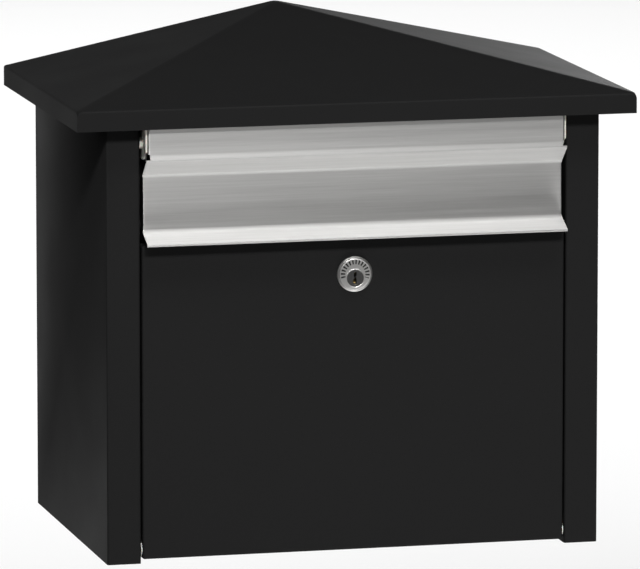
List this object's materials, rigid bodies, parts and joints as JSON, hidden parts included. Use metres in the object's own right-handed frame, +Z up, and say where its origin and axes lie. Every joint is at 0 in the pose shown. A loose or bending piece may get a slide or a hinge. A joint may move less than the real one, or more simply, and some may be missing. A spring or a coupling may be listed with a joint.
{
  "type": "wall mounted mailbox",
  "caption": "Wall mounted mailbox with a hipped overhanging roof, a lifting brushed steel mail flap over a slot, and a drop-down front door with a cam lock.",
  "frame": {"origin": "centre of the four wall holes, on the wall side of the back panel", "axes": "+Z up, +Y into the wall, +X to the right seen from the front; the front faces -Y"},
  "size_m": [0.425, 0.2662, 0.385],
  "materials": {
    "black_powder_coat": "satin powder coat",
    "brushed_stainless": "brushed along its length",
    "zinc_plated_steel": "bright zinc plated",
    "polished_nickel": "polished",
    "satin_nickel": "satin",
    "wafer_brass": "as stamped",
    "natural_nylon": "moulded",
    "black_rubber": "matt"
  },
  "bodies": {
    "housing": {"left_side_panel": "black_powder_coat", "right_side_panel": "black_powder_coat", "back_panel": "black_powder_coat", "floor_pan": "black_powder_coat", "front_header": "black_powder_coat", "roof_cap": "black_powder_coat", "roof_bracket_left": "black_powder_coat", "roof_bracket_right": "black_powder_coat", "roof_screws": "zinc_plated_steel", "roof_nuts": "zinc_plated_steel", "flap_pin_left": "zinc_plated_steel", "flap_pin_right": "zinc_plated_steel", "flap_bumpers": "black_rubber", "door_pin_left": "zinc_plated_steel", "door_pin_right": "zinc_plated_steel", "door_bumpers": "black_rubber"},
    "flap": {"mail_flap": "brushed_stainless", "flap_bushings": "natural_nylon"},
    "door": {"door_panel": "black_powder_coat", "door_bushings": "natural_nylon", "lock_housing": "polished_nickel", "lock_nut": "zinc_plated_steel"},
    "lock_barrel": {"lock_plug": "satin_nickel", "lock_wafers": "wafer_brass", "lock_cam": "zinc_plated_steel", "cam_screw": "zinc_plated_steel"}
  },
  "joints": [
    {"name": "flap_hinge", "type": "hinge", "parent": "housing", "child": "flap", "pos_m": [0, -0.245, 0.149], "axis": [-1, 0, 0], "range_deg": [0, 70]},
    {"name": "door_hinge", "type": "hinge", "parent": "housing", "child": "door", "pos_m": [0, -0.244, -0.155], "axis": [1, 0, 0], "range_deg": [0, 100]},
    {"name": "lock_turn", "type": "hinge", "parent": "door", "child": "lock_barrel", "pos_m": [0, -0.251, 0.0432], "axis": [0, -1, 0], "range_deg": [0, 90]}
  ]
}
